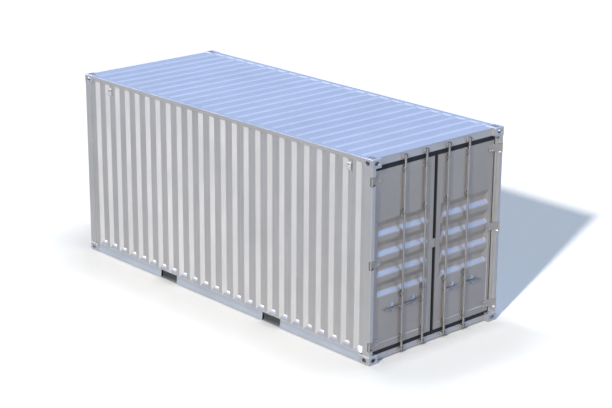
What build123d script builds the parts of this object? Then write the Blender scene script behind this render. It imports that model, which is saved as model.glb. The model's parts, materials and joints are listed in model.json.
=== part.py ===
import os

from build123d import *

# Shipping container, twenty feet long. Millimetres, +Z up, doors at +X, origin under the centre.

# Overall size, which the outer faces of the eight corner castings set
length = 6058.0
width = 2438.0
height = 2743.0
half_length = length / 2
half_width = width / 2

# Corner castings, with a long aperture on top or underneath and a short one in each outer face
casting_length = 178.0
casting_width = 162.0
casting_height = 118.0
casting_wall = 14.0
casting_cap = 28.0
casting_edge = 4.0
casting_end_x = half_length - casting_length
casting_side_y = half_width - casting_width
cap_slot_length = 124.5
cap_slot_width = 63.5
side_slot_length = 79.5
side_slot_height = 51.0

# Base: rails, cross members and floor stand clear of the ground
ground_clearance = 12.0
base_height = 122.0
base_top = ground_clearance + base_height
rail_inset = 11.0
rail_plate = 4.5
rail_flange = 48.0
rail_lean = 11.0
rail_foot_height = 14.0
rail_lean_height = 70.0
rail_face_y = half_width - rail_inset
member_flange = 45.0
member_plate = 4.0
member_pitch = 286.0
floor_thickness = 28.0
floor_gap = 1.0
floor_rows = 2
floor_columns = 5
floor_joint = 2.0
floor_top = base_top + floor_thickness

# Fork pockets, tunnels from side to side
pocket_width = 360.0
pocket_spacing = 2240.0
pocket_plate = 4.0
pocket_lip = 8.0
pocket_strap_length = 300.0
pocket_bottom = ground_clearance + pocket_lip
pocket_top = base_top - rail_plate

# Corner posts and top rails
post_inset = 4.0
post_plate = 6.0
post_face_x = half_length - post_inset
post_face_y = half_width - post_inset
post_depth = 128.0
post_end_x = post_face_x - post_depth
post_corner = 8.0
post_step = 22.0
post_bevel = 6.0
front_post_return = 34.0
jamb_depth = 89.0
jamb_y = half_width - jamb_depth
top_rail_size = 60.0
top_rail_plate = 3.0
roof_sheet = 2.0
roof_clearance = 7.0
roof_top = height - roof_clearance
top_rail_top = roof_top - roof_sheet
top_rail_bottom = top_rail_top - top_rail_size
post_bottom = casting_height
post_top = height - casting_height

# Corrugated sheets: pitch, then the parts of one pitch seen from outside
sheet = 2.0
wall_outset = 22.0
wall_face_y = half_width - wall_outset
wall_depth = 42.0
wall_pitch = 240.0
wall_slope = 54.0
wall_inner_flat = 66.0
wall_foot = 70.0
wall_trough_width = wall_inner_flat + 2 * wall_slope
wall_first_flat = 98.0
wall_first_trough = -post_end_x + wall_first_flat + wall_trough_width / 2
wall_troughs = int((2 * post_end_x - wall_first_flat - wall_trough_width) // wall_pitch) + 1
front_outset = 15.0
front_face_x = half_length - front_outset
front_depth = 45.0
front_pitch = 250.0
front_slope = 20.0
front_inner_flat = 105.0
front_trough_width = front_inner_flat + 2 * front_slope
front_troughs = int((2 * casting_side_y - front_trough_width) // front_pitch) + 1
front_sill_flange = 60.0

# Roof: troughs pressed down into the sheet between narrow ribs, with flat margins all round
roof_depth = 18.0
roof_slope_angle = 60.0
roof_rib_pitch = 241.0
roof_rib_top = 40.0
roof_front_margin = 6.0
roof_door_margin = 46.0
roof_side_margin = 5.0
roof_first_rib = 247.5
roof_least_trough = 70.0
roof_span = 2 * casting_end_x - roof_first_rib - roof_door_margin - roof_rib_top / 2
roof_ribs = int((roof_span - roof_least_trough) // roof_rib_pitch) + 1

# Door sill, then the height of the door leaves between it and the header
sill_top = 90.0
leaf_bottom_lip = 60.0
leaf_top_lip = 63.0
leaf_bottom = sill_top + leaf_bottom_lip
leaf_top = post_top - leaf_top_lip
leaf_middle = (leaf_bottom + leaf_top) / 2

# Hinges: three pins on each rear post, close to its outer corner
pin_radius = 7.0
knuckle_radius = 12.0
pin_clearance = 0.3
hinge_from_bottom = 105.0
hinge_from_top = 107.0
lowest_hinge = leaf_bottom + hinge_from_bottom
highest_hinge = leaf_top - hinge_from_top
hinge_heights = (lowest_hinge, (lowest_hinge + highest_hinge) / 2, highest_hinge)
blade_height = 100.0
blade_plate = 10.0
blade_reach = 110.0
blade_setback = 2.0
lug_plate = 12.0
lug_gap = 0.5
pin_x = half_length - knuckle_radius
pin_y = half_width - knuckle_radius
hinge_mouth = 28.0
hinge_throat = 58.0

# Door leaves: the bars in front of them clear the side rails when the doors lie back along the sides
swing_clearance = 5.0
bar_radius = 16.0
bar_fit = 0.3
guide_strap = 3.2
bar_standoff = 10.0
hardware_front = pin_x - (rail_face_y + swing_clearance - pin_y)
bar_x = hardware_front - guide_strap - bar_fit - bar_radius
leaf_face_x = bar_x - bar_radius - bar_standoff
leaf_depth = 50.0
leaf_back_x = leaf_face_x - leaf_depth
leaf_edge_gap = 25.0
leaf_edge_y = jamb_y - leaf_edge_gap
leaf_centre_gap = 32.0
hinge_stile = 48.0
centre_stile = 68.0
door_rail = 90.0
panel_recess = 3.0
panel_depth = 34.0
panel_pitch = 272.0
panel_slope = 66.0
panel_end_slope = 36.0
panel_end_margin = 8.0
panel_inner_flat = 66.0
panel_troughs = 4
panel_lift = 25.0
gasket_front = 10.0
gasket_depth = 28.0
gasket_gap = 0.5
gasket_centre_gap = 4.5

# Faces of the door header and sill, which carry the keepers
keeper_plate = 5.0
cam_reach = 21.0
frame_face_x = bar_x - cam_reach - swing_clearance - keeper_plate
upstand_gap = 10.0
upstand_x = leaf_back_x - upstand_gap
eave_plate = 4.0
eave_reach = 12.0

# Lock bars: two on each leaf, with a cam at each end
inner_bar_offset = 208.0
outer_bar_past_middle = 42.5
bar_offsets = (inner_bar_offset, leaf_edge_y / 2 + outer_bar_past_middle)
bar_from_ground = 42.0
bar_from_top = 51.0
bar_bottom = bar_from_ground
bar_top = height - bar_from_top
cam_height = 30.0
cam_inset = 4.0
cam_sleeve = 1.5
cam_nose_radius = 8.0
keeper_lug = 14.0
keeper_lead = 6.0
keeper_gap = 27.0
keeper_reach = 40.0
keeper_height = 56.0
end_guide_offset = 76.0
top_guide_offset = 55.0
lower_guide_offset = 685.0
upper_guide_offset = 633.0
guide_heights = (
    leaf_bottom + end_guide_offset,
    leaf_bottom + lower_guide_offset,
    leaf_top - upper_guide_offset,
    leaf_top - top_guide_offset,
)
guide_height = 45.0
guide_base_height = 100.0
guide_base_width = 84.0
guide_base_plate = 5.0

# Handles: each hangs on a pin in the ears of its bar's hub and lies in a retainer on the leaf
handle_height = 670.0
hub_radius = bar_radius + guide_strap
hub_height = 56.0
ear_plate = 5.0
ear_radius = 11.0
handle_pin_radius = 5.0
handle_pin_offset = 38.0
handle_plate = 12.0
handle_gap = 0.5
handle_depth = 26.0
handle_to_next_bar = 67.0
handle_length = bar_offsets[1] - bar_offsets[0] - handle_to_next_bar
handle_tip_depth = 18.0
retainer_past_middle = 5.0
retainer_offset = handle_length / 2 + retainer_past_middle
retainer_width = 60.0
retainer_plate = 6.0
retainer_rise = 78.0
retainer_top = handle_height + retainer_rise
retainer_shelf = 8.0
retainer_gusset = 16.0
retainer_front = 2.0
retainer_seat_gap = 0.3
catch_plate = 8.0
catch_width = 46.0
catch_height = 44.0

# Cover plates over the middle joint of the doors, and ventilators near the tops of the walls
cover_height = 118.0
cover_width = 96.0
cover_lift = 29.0
cover_middle = leaf_middle + cover_lift
cover_rise = 14.0
cover_gap = 3.5
vent_back_width = 62.0
vent_front_width = 92.0
vent_height = 126.0
vent_rise = 26.0
vent_bevel = 14.0
vent_drop = 50.0
vent_top = top_rail_bottom - vent_drop
vent_troughs = (1, wall_troughs - 2)
vent_back_y = wall_face_y - wall_depth

os.makedirs("parts", exist_ok=True)


def save(builder, name):
    """Label a finished piece and write it under the name of its node."""
    builder.part.label = name
    export_step(builder.part, f"parts/{name}.step")


def trough_points(start, end, first, pitch, count, slope, inner_flat, depth):
    """Points of a corrugated sheet's outer face, as distance along it and depth below its flats."""
    points = [(start, 0.0)]
    for number in range(count):
        middle = first + number * pitch
        points.append((middle - inner_flat / 2 - slope, 0.0))
        points.append((middle - inner_flat / 2, -depth))
        points.append((middle + inner_flat / 2, -depth))
        points.append((middle + inner_flat / 2 + slope, 0.0))
    points.append((end, 0.0))
    return points


# Corner castings
def corner_casting(x_side, y_side, z_side):
    """One hollow casting at the corner that the three signs name."""
    centre_x = x_side * (half_length - casting_length / 2)
    centre_y = y_side * (half_width - casting_width / 2)
    centre_z = height / 2 + z_side * (height - casting_height) / 2
    cap_plane = Plane(
        origin=(centre_x, centre_y, height / 2 + z_side * height / 2),
        x_dir=(1, 0, 0),
        z_dir=(0, 0, z_side),
    )
    side_plane = Plane(
        origin=(centre_x, y_side * half_width, centre_z), x_dir=(1, 0, 0), z_dir=(0, y_side, 0)
    )
    end_plane = Plane(
        origin=(x_side * half_length, centre_y, centre_z), x_dir=(0, 1, 0), z_dir=(x_side, 0, 0)
    )
    with BuildPart() as casting:
        with Locations((centre_x, centre_y, centre_z)):
            Box(casting_length, casting_width, casting_height)
        chamfer(casting.edges(), casting_edge)
        with Locations((centre_x, centre_y, centre_z - z_side * (casting_cap - casting_wall) / 2)):
            Box(
                casting_length - 2 * casting_wall,
                casting_width - 2 * casting_wall,
                casting_height - casting_cap - casting_wall,
                mode=Mode.SUBTRACT,
            )
        with BuildSketch(cap_plane):
            SlotOverall(cap_slot_length, cap_slot_width)
        extrude(amount=-casting_cap, mode=Mode.SUBTRACT)
        with BuildSketch(side_plane, end_plane):
            SlotOverall(side_slot_length, side_slot_height)
        extrude(amount=-casting_wall, mode=Mode.SUBTRACT)
    return casting


for end_name, x_side in (("front", -1), ("rear", 1)):
    for side_name, y_side in (("left", -1), ("right", 1)):
        for level_name, z_side in (("bottom", -1), ("top", 1)):
            casting = corner_casting(x_side, y_side, z_side)
            save(casting, f"{end_name}_{side_name}_{level_name}_casting")


# Front corner posts: one pressed section that turns the corner, with a return at each edge
def front_post(y_side):
    side_end = (-post_end_x, y_side * (post_face_y - front_post_return))
    with BuildPart() as post:
        with BuildSketch(Plane.XY.offset(post_bottom)):
            with BuildLine() as outline:
                Polyline(
                    side_end,
                    (-post_end_x, y_side * post_face_y),
                    (-post_face_x, y_side * post_face_y),
                    (-post_face_x, y_side * casting_side_y),
                    (-post_face_x + front_post_return, y_side * casting_side_y),
                )
                offset(amount=post_plate, side=Side.LEFT if y_side > 0 else Side.RIGHT)
            make_face()
        extrude(amount=post_top - post_bottom)
    return post


save(front_post(-1), "front_left_post")
save(front_post(1), "front_right_post")


# Rear corner posts: a box section with a raised outer edge, cut away where the hinges swing
def rear_post(y_side):
    step_y = jamb_y + post_step
    pocket_height = blade_height + 2 * lug_gap + 2 * lug_plate
    with BuildPart() as post:
        with BuildSketch(Plane.XY.offset(post_bottom)) as section:
            with BuildLine():
                Polyline(
                    (post_end_x, y_side * post_face_y),
                    (post_face_x, y_side * post_face_y),
                    (post_face_x, y_side * step_y),
                    (leaf_face_x, y_side * (step_y - post_bevel)),
                    (leaf_face_x, y_side * jamb_y),
                    (post_end_x, y_side * jamb_y),
                    close=True,
                )
            make_face()
            corner = section.vertices().sort_by_distance((post_face_x, y_side * post_face_y))[0]
            fillet(corner, post_corner)
        extrude(amount=post_top - post_bottom)
        for level in hinge_heights:
            with BuildSketch(Plane.XY.offset(level - pocket_height / 2)):
                with BuildLine():
                    Polyline(
                        (half_length, y_side * half_width),
                        (pin_x - hinge_mouth, y_side * half_width),
                        (pin_x - hinge_mouth, y_side * (pin_y - hinge_mouth)),
                        (pin_x - hinge_throat, y_side * leaf_edge_y),
                        (half_length, y_side * leaf_edge_y),
                        close=True,
                    )
                make_face()
            extrude(amount=pocket_height, mode=Mode.SUBTRACT)
    return post


save(rear_post(-1), "rear_left_post")
save(rear_post(1), "rear_right_post")


# Hinge lugs: an upper and a lower ear on the back of each pocket, joined by the pin
def hinge_lugs(y_side):
    ear_level = blade_height / 2 + lug_gap
    with BuildPart() as lugs:
        for level in hinge_heights:
            for bottom in (level - ear_level - lug_plate, level + ear_level):
                with BuildSketch(Plane.XY.offset(bottom)):
                    with Locations((pin_x, y_side * pin_y)):
                        Circle(knuckle_radius)
                    with BuildLine():
                        Polyline(
                            (pin_x, y_side * half_width),
                            (pin_x - hinge_mouth, y_side * post_face_y),
                            (pin_x - hinge_mouth, y_side * (pin_y - hinge_mouth)),
                            (pin_x, y_side * (pin_y - knuckle_radius)),
                            close=True,
                        )
                    make_face()
                extrude(amount=lug_plate)
            with BuildSketch(Plane.XY.offset(level - ear_level)):
                with Locations((pin_x, y_side * pin_y)):
                    Circle(pin_radius)
            extrude(amount=2 * ear_level)
    return lugs


save(hinge_lugs(-1), "left_hinge_lugs")
save(hinge_lugs(1), "right_hinge_lugs")


# Bottom side rails: channels that open inwards, with a foot that leans out, cut for the fork pockets
def bottom_rail(y_side):
    with BuildPart() as rail:
        with BuildSketch(Plane.YZ.offset(-casting_end_x)):
            with BuildLine():
                Polyline(
                    (y_side * (rail_face_y - rail_flange), ground_clearance),
                    (y_side * rail_face_y, ground_clearance),
                    (y_side * rail_face_y, ground_clearance + rail_foot_height),
                    (y_side * (rail_face_y - rail_lean), ground_clearance + rail_lean_height),
                    (y_side * (rail_face_y - rail_lean), base_top),
                    (y_side * (rail_face_y - rail_flange), base_top),
                )
                offset(amount=rail_plate, side=Side.LEFT if y_side > 0 else Side.RIGHT)
            make_face()
        extrude(amount=2 * casting_end_x)
        with Locations((0, y_side * rail_face_y, (pocket_bottom + pocket_top) / 2)):
            with GridLocations(pocket_spacing, 0, 2, 1):
                Box(
                    pocket_width,
                    2 * rail_flange + 2 * rail_plate,
                    pocket_top - pocket_bottom,
                    mode=Mode.SUBTRACT,
                )
    return rail


save(bottom_rail(-1), "left_bottom_rail")
save(bottom_rail(1), "right_bottom_rail")

# Fork pockets: plates that line each tunnel, with a strap underneath at each mouth
with BuildPart() as fork_pockets:
    with Locations((0, 0, (pocket_bottom + pocket_top) / 2)):
        with GridLocations(pocket_spacing, 0, 2, 1):
            Box(pocket_width + 2 * pocket_plate, 2 * (rail_face_y - rail_flange), pocket_top - pocket_bottom)
            Box(pocket_width, 2 * half_width, pocket_top - pocket_bottom, mode=Mode.SUBTRACT)
    with Locations((0, 0, (ground_clearance + pocket_bottom) / 2)):
        with GridLocations(pocket_spacing, 2 * (rail_face_y - rail_flange) - pocket_strap_length, 2, 2):
            Box(pocket_width + 2 * pocket_plate, pocket_strap_length, pocket_lip)
    with Locations((0, 0, (pocket_top + base_top) / 2)):
        with GridLocations(pocket_spacing, 0, 2, 1):
            Box(pocket_width + 2 * pocket_plate, 2 * (rail_face_y - rail_flange), rail_plate)
save(fork_pockets, "fork_pockets")

# Cross members: channels between the rails, left out where the fork pockets run
member_half_length = rail_face_y - rail_flange
member_places = []
member_pairs = int(casting_end_x // member_pitch) + 1
for number in range(-member_pairs, member_pairs):
    place = (number + 0.5) * member_pitch
    pocket_distance = abs(abs(place) - pocket_spacing / 2)
    if pocket_distance > pocket_width / 2 + member_flange and abs(place) < casting_end_x - member_flange:
        member_places.append(place)
with BuildPart() as cross_members:
    for place in member_places:
        with BuildSketch(Plane.XZ.offset(-member_half_length)):
            with BuildLine():
                Polyline(
                    (place + member_flange / 2, ground_clearance),
                    (place - member_flange / 2, ground_clearance),
                    (place - member_flange / 2, base_top),
                    (place + member_flange / 2, base_top),
                )
                offset(amount=member_plate, side=Side.RIGHT)
            make_face()
        extrude(amount=2 * member_half_length)
save(cross_members, "cross_members")

# Floor boards on the cross members, with open joints between them
floor_start = -(front_face_x - front_depth - sheet) + floor_gap
floor_length = casting_end_x - floor_start
floor_width = 2 * (wall_face_y - wall_depth - sheet - floor_gap)
board_length = (floor_length - (floor_columns - 1) * floor_joint) / floor_columns
board_width = (floor_width - (floor_rows - 1) * floor_joint) / floor_rows
with BuildPart() as floor_boards:
    with Locations((floor_start + floor_length / 2, 0, base_top + floor_thickness / 2)):
        with GridLocations(
            board_length + floor_joint, board_width + floor_joint, floor_columns, floor_rows
        ):
            Box(board_length, board_width, floor_thickness)
save(floor_boards, "floor_boards")


# Top side rails: square tubes between the top castings
def top_rail(y_side):
    with BuildPart() as rail:
        with BuildSketch(Plane.YZ.offset(-casting_end_x)):
            with Locations(
                (y_side * (rail_face_y - top_rail_size / 2), top_rail_bottom + top_rail_size / 2)
            ):
                Rectangle(top_rail_size, top_rail_size)
                Rectangle(
                    top_rail_size - 2 * top_rail_plate,
                    top_rail_size - 2 * top_rail_plate,
                    mode=Mode.SUBTRACT,
                )
        extrude(amount=2 * casting_end_x)
    return rail


save(top_rail(-1), "left_top_rail")
save(top_rail(1), "right_top_rail")

# Door header: a box between the top castings, with a drip eave along its upper edge
with BuildPart() as door_header:
    with BuildSketch(Plane.XZ.offset(-casting_side_y)):
        with BuildLine():
            Polyline(
                (casting_end_x, post_top),
                (frame_face_x, post_top),
                (frame_face_x, top_rail_top + roof_sheet - eave_plate),
                (frame_face_x + eave_reach, top_rail_top + roof_sheet - eave_plate),
                (frame_face_x + eave_reach, top_rail_top + roof_sheet),
                (casting_end_x, top_rail_top + roof_sheet),
                close=True,
            )
        make_face()
    extrude(amount=2 * casting_side_y)
save(door_header, "door_header")

# Door sill: a low front face under the leaves and an upstand to floor level behind them
with BuildPart() as door_sill:
    with BuildSketch(Plane.XZ.offset(-casting_side_y)):
        with BuildLine():
            Polyline(
                (casting_end_x, ground_clearance),
                (frame_face_x, ground_clearance),
                (frame_face_x, sill_top),
                (upstand_x, sill_top),
                (upstand_x, floor_top),
                (casting_end_x, floor_top),
                close=True,
            )
        make_face()
    extrude(amount=2 * casting_side_y)
save(door_sill, "door_sill")

# Front sill and front header between the front castings
front_rail_depth = front_depth + sheet + front_sill_flange
with BuildPart() as front_sill:
    with BuildSketch(Plane.XZ.offset(-casting_side_y)):
        with BuildLine():
            Polyline(
                (-front_face_x + front_rail_depth, ground_clearance),
                (-front_face_x, ground_clearance),
                (-front_face_x, base_top),
                (-front_face_x + front_rail_depth, base_top),
            )
            offset(amount=rail_plate, side=Side.RIGHT)
        make_face()
    extrude(amount=2 * casting_side_y)
save(front_sill, "front_sill")

with BuildPart() as front_header:
    with BuildSketch(Plane.XZ.offset(-casting_side_y)):
        with BuildLine():
            Polyline(
                (-front_face_x, top_rail_bottom),
                (-front_face_x, top_rail_top + roof_sheet),
                (-casting_end_x, top_rail_top + roof_sheet),
                (-casting_end_x, top_rail_bottom),
                close=True,
            )
        make_face()
    extrude(amount=2 * casting_side_y)
save(front_header, "front_header")


# Side walls: sheets with upright troughs pressed into them, each closed by a slope at its foot
def side_wall(y_side):
    wall_height = top_rail_bottom - base_top
    mouth_middle = (top_rail_bottom + base_top) / 2
    with BuildPart() as wall:
        with Locations((0, y_side * (wall_face_y - sheet / 2), mouth_middle)):
            Box(2 * post_end_x, sheet, wall_height)
        for number in range(wall_troughs):
            middle = wall_first_trough + number * wall_pitch
            for face_y, mode in ((wall_face_y - sheet, Mode.ADD), (wall_face_y, Mode.SUBTRACT)):
                with BuildSketch(Plane.XZ.offset(-y_side * face_y)):
                    with Locations((middle, mouth_middle)):
                        Rectangle(wall_trough_width, wall_height)
                with BuildSketch(Plane.XZ.offset(-y_side * (face_y - wall_depth))):
                    with Locations((middle, mouth_middle + wall_foot / 2)):
                        Rectangle(wall_inner_flat, wall_height - wall_foot)
                loft(ruled=True, mode=mode)
        with Locations((0, y_side * half_width, top_rail_bottom)):
            with GridLocations(2 * post_end_x, 0, 2, 1):
                Box(
                    2 * (post_end_x - casting_end_x),
                    2 * casting_width,
                    2 * (top_rail_bottom - post_top),
                    mode=Mode.SUBTRACT,
                )
    return wall


save(side_wall(-1), "left_wall")
save(side_wall(1), "right_wall")

# Front wall: the same kind of sheet between the front posts
front_points = trough_points(
    -casting_side_y,
    casting_side_y,
    -front_pitch * (front_troughs - 1) / 2,
    front_pitch,
    front_troughs,
    front_slope,
    front_inner_flat,
    front_depth,
)
with BuildPart() as front_wall:
    with BuildSketch(Plane.XY.offset(base_top)):
        with BuildLine():
            Polyline([(-front_face_x - below, along) for along, below in front_points])
            offset(amount=sheet, side=Side.RIGHT)
        make_face()
    extrude(amount=top_rail_bottom - base_top)
save(front_wall, "front_wall")

# Roof: one sheet on the rails, whose troughs run across it from one top rail to the other
rib_places = [-casting_end_x + roof_first_rib + number * roof_rib_pitch for number in range(roof_ribs)]
trough_starts = [-casting_end_x + roof_front_margin] + [rib + roof_rib_top / 2 for rib in rib_places]
trough_ends = [rib - roof_rib_top / 2 for rib in rib_places] + [casting_end_x - roof_door_margin]
roof_trough_length = 2 * (rail_face_y - top_rail_size - roof_side_margin)
with BuildPart() as roof:
    with BuildSketch(Plane.XY.offset(top_rail_top)):
        Rectangle(2 * casting_end_x, 2 * rail_face_y)
    extrude(amount=roof_sheet)
    for level, mode in ((top_rail_top, Mode.ADD), (roof_top, Mode.SUBTRACT)):
        with BuildSketch(Plane(origin=(0, 0, level), x_dir=(1, 0, 0), z_dir=(0, 0, -1))):
            for start, end in zip(trough_starts, trough_ends):
                with Locations(((start + end) / 2, 0)):
                    Rectangle(end - start, roof_trough_length)
        extrude(amount=roof_depth, taper=roof_slope_angle, mode=mode)
save(roof, "roof")


# Door leaves: a rectangular frame with hinge blades and a middle cover plate
def door_frame(y_side):
    middle_y = (leaf_edge_y + leaf_centre_gap) / 2
    leaf_width = leaf_edge_y - leaf_centre_gap
    opening_middle = (leaf_edge_y - hinge_stile + leaf_centre_gap + centre_stile) / 2
    opening_width = leaf_width - hinge_stile - centre_stile
    leaf_height = leaf_top - leaf_bottom
    middle_z = (leaf_top + leaf_bottom) / 2
    with BuildPart() as frame:
        with Locations((leaf_back_x + leaf_depth / 2, y_side * middle_y, middle_z)):
            Box(leaf_depth, leaf_width, leaf_height)
        with Locations((leaf_back_x + leaf_depth / 2, y_side * opening_middle, middle_z)):
            Box(leaf_depth, opening_width, leaf_height - 2 * door_rail, mode=Mode.SUBTRACT)
        for level in hinge_heights:
            with BuildSketch(Plane.XY.offset(level - blade_height / 2)):
                with BuildLine():
                    Polyline(
                        (leaf_face_x + blade_plate, y_side * (leaf_edge_y - blade_reach)),
                        (leaf_face_x + blade_plate, y_side * leaf_edge_y),
                        (pin_x - blade_setback, y_side * pin_y),
                    )
                    offset(amount=blade_plate, side=Side.LEFT if y_side > 0 else Side.RIGHT)
                make_face()
                with Locations((pin_x, y_side * pin_y)):
                    Circle(knuckle_radius)
                    Circle(pin_radius + pin_clearance, mode=Mode.SUBTRACT)
            extrude(amount=blade_height)
        with BuildSketch(Plane.XY.offset(cover_middle - cover_height / 2)):
            with BuildLine():
                Polyline(
                    (leaf_face_x, y_side * cover_gap),
                    (leaf_face_x + cover_rise, y_side * cover_gap),
                    (leaf_face_x + cover_rise, y_side * (cover_width - 2 * cover_rise)),
                    (leaf_face_x, y_side * cover_width),
                    close=True,
                )
            make_face()
        extrude(amount=cover_height)
    return frame


save(door_frame(-1), "left_door_frame")
save(door_frame(1), "right_door_frame")


# Door panels: sheets with level troughs pressed into the middle of the leaf, closed at their ends
def door_panel(y_side):
    inner_y = leaf_centre_gap + centre_stile
    outer_y = leaf_edge_y - hinge_stile
    middle_y = y_side * (inner_y + outer_y) / 2
    panel_width = outer_y - inner_y
    panel_height = leaf_top - leaf_bottom - 2 * door_rail
    panel_x = leaf_face_x - panel_recess
    mouth_width = panel_width - 2 * panel_end_margin
    lowest = leaf_middle + panel_lift - panel_pitch * (panel_troughs - 1) / 2
    with BuildPart() as panel:
        with Locations((panel_x - sheet / 2, middle_y, leaf_middle)):
            Box(sheet, panel_width, panel_height)
        for number in range(panel_troughs):
            place = (middle_y, lowest + number * panel_pitch)
            for face_x, mode in ((panel_x - sheet, Mode.ADD), (panel_x, Mode.SUBTRACT)):
                with BuildSketch(Plane.YZ.offset(face_x)):
                    with Locations(place):
                        Rectangle(mouth_width, panel_inner_flat + 2 * panel_slope)
                with BuildSketch(Plane.YZ.offset(face_x - panel_depth)):
                    with Locations(place):
                        Rectangle(mouth_width - 2 * panel_end_slope, panel_inner_flat)
                loft(ruled=True, mode=mode)
    return panel


save(door_panel(-1), "left_door_panel")
save(door_panel(1), "right_door_panel")


# Door gaskets: a rubber lip all round each leaf, notched over the bottom casting
def door_gasket(y_side):
    lip_bottom = sill_top + gasket_gap
    lip_over_casting = casting_height + gasket_gap
    lip_top = post_top - gasket_gap
    casting_gap_y = casting_side_y - gasket_gap
    with BuildPart() as gasket:
        with BuildSketch(Plane.YZ.offset(leaf_face_x - gasket_front - gasket_depth)):
            with BuildLine():
                Polyline(
                    (y_side * gasket_centre_gap, lip_bottom),
                    (y_side * casting_gap_y, lip_bottom),
                    (y_side * casting_gap_y, lip_over_casting),
                    (y_side * (jamb_y - gasket_gap), lip_over_casting),
                    (y_side * (jamb_y - gasket_gap), lip_top),
                    (y_side * gasket_centre_gap, lip_top),
                    close=True,
                )
            make_face()
            with Locations(
                (y_side * (leaf_edge_y + leaf_centre_gap) / 2, (leaf_top + leaf_bottom) / 2)
            ):
                Rectangle(leaf_edge_y - leaf_centre_gap, leaf_top - leaf_bottom, mode=Mode.SUBTRACT)
        extrude(amount=gasket_depth)
    return gasket


save(door_gasket(-1), "left_door_gasket")
save(door_gasket(1), "right_door_gasket")


# Lock bars: round tubes with a cam at each end and the hub that carries the handle
def lock_bar(bar_y, handle_side):
    ear_middle = handle_plate / 2 + handle_gap + ear_plate / 2
    with BuildPart() as bar:
        with BuildSketch(Plane.XY.offset(bar_bottom)):
            with Locations((bar_x, bar_y)):
                Circle(bar_radius)
        extrude(amount=bar_top - bar_bottom)
        for bottom in (bar_bottom + cam_inset, bar_top - cam_inset - cam_height):
            with BuildSketch(Plane.XY.offset(bottom)):
                with Locations((bar_x, bar_y)):
                    Circle(bar_radius + cam_sleeve)
                with Locations((bar_x - cam_reach + cam_nose_radius, bar_y)):
                    Circle(cam_nose_radius)
                make_hull()
            extrude(amount=cam_height)
        with BuildSketch(Plane.XY.offset(handle_height - hub_height / 2)):
            with Locations((bar_x, bar_y)):
                Circle(hub_radius)
        extrude(amount=hub_height)
        for ear_side in (-1, 1):
            ear_x = bar_x + ear_side * ear_middle
            with BuildSketch(Plane.YZ.offset(ear_x - ear_plate / 2)):
                with Locations((bar_y + handle_side * handle_pin_offset, handle_height)):
                    Circle(ear_radius)
                with Locations((bar_y + handle_side * handle_pin_offset / 2, handle_height)):
                    Rectangle(handle_pin_offset, 2 * ear_radius)
            extrude(amount=ear_plate)
        with BuildSketch(Plane.YZ.offset(bar_x - ear_middle)):
            with Locations((bar_y + handle_side * handle_pin_offset, handle_height)):
                Circle(handle_pin_radius)
        extrude(amount=2 * ear_middle)
    return bar


# Handles: flat forged levers with an eye on the hub's pin and a narrower, rounded grip
def handle(bar_y, handle_side):
    pin_place = bar_y + handle_side * handle_pin_offset
    tip_place = bar_y + handle_side * (handle_length - handle_tip_depth / 2)
    with BuildPart() as lever:
        with BuildSketch(Plane.YZ.offset(bar_x - handle_plate / 2)):
            with Locations((pin_place, handle_height)):
                Circle(ear_radius)
            with Locations((tip_place, handle_height - (handle_depth - handle_tip_depth) / 2)):
                Circle(handle_tip_depth / 2)
            with Locations((bar_y + handle_side * retainer_offset, handle_height)):
                Circle(handle_depth / 2)
            make_hull()
            with Locations((pin_place, handle_height)):
                Circle(handle_pin_radius + pin_clearance, mode=Mode.SUBTRACT)
        extrude(amount=handle_plate)
    return lever


# Bar guides and handle retainers, both fixed to the face of the leaf
def bar_guides(y_side):
    base_x = leaf_face_x + guide_base_plate / 2
    with BuildPart() as guides:
        for bar_offset in bar_offsets:
            bar_y = y_side * bar_offset
            for level in guide_heights:
                with Locations((base_x, bar_y, level)):
                    Box(guide_base_plate, guide_base_width, guide_base_height)
                with BuildSketch(Plane.XY.offset(level - guide_height / 2)):
                    with Locations((bar_x, bar_y)):
                        Circle(bar_radius + bar_fit + guide_strap)
                    with Locations(((leaf_face_x + bar_x) / 2, bar_y)):
                        Rectangle(bar_x - leaf_face_x, 2 * (bar_radius + bar_fit + guide_strap))
                    with Locations((bar_x, bar_y)):
                        Circle(bar_radius + bar_fit, mode=Mode.SUBTRACT)
                extrude(amount=guide_height)
    return guides


def handle_retainers(y_side):
    seat = handle_height - handle_depth / 2 - retainer_seat_gap
    bottom = seat - retainer_shelf
    plate_x = leaf_face_x + retainer_plate
    shelf_front = bar_x + handle_plate / 2 + retainer_front
    with BuildPart() as retainers:
        for bar_offset in bar_offsets:
            place = y_side * (bar_offset + retainer_offset)
            with BuildSketch(Plane.XZ.offset(-place - retainer_width / 2)):
                with BuildLine():
                    Polyline(
                        (leaf_face_x, bottom - retainer_gusset),
                        (plate_x, bottom - retainer_gusset),
                        (shelf_front, bottom),
                        (shelf_front, seat),
                        (plate_x, seat),
                        (plate_x, retainer_top),
                        (leaf_face_x, retainer_top),
                        close=True,
                    )
                make_face()
            extrude(amount=retainer_width)
            with BuildSketch(Plane.YZ.offset(plate_x)):
                with Locations((place, retainer_top - catch_height / 2)):
                    RectangleRounded(catch_width, catch_height, catch_plate)
            extrude(amount=catch_plate)
    return retainers


for side_name, y_side in (("left", -1), ("right", 1)):
    for place_name, bar_offset in zip(("inner", "outer"), bar_offsets):
        save(lock_bar(y_side * bar_offset, y_side), f"{side_name}_{place_name}_lock_bar")
        save(handle(y_side * bar_offset, y_side), f"{side_name}_{place_name}_handle")
    save(bar_guides(y_side), f"{side_name}_bar_guides")
    save(handle_retainers(y_side), f"{side_name}_handle_retainers")

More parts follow.
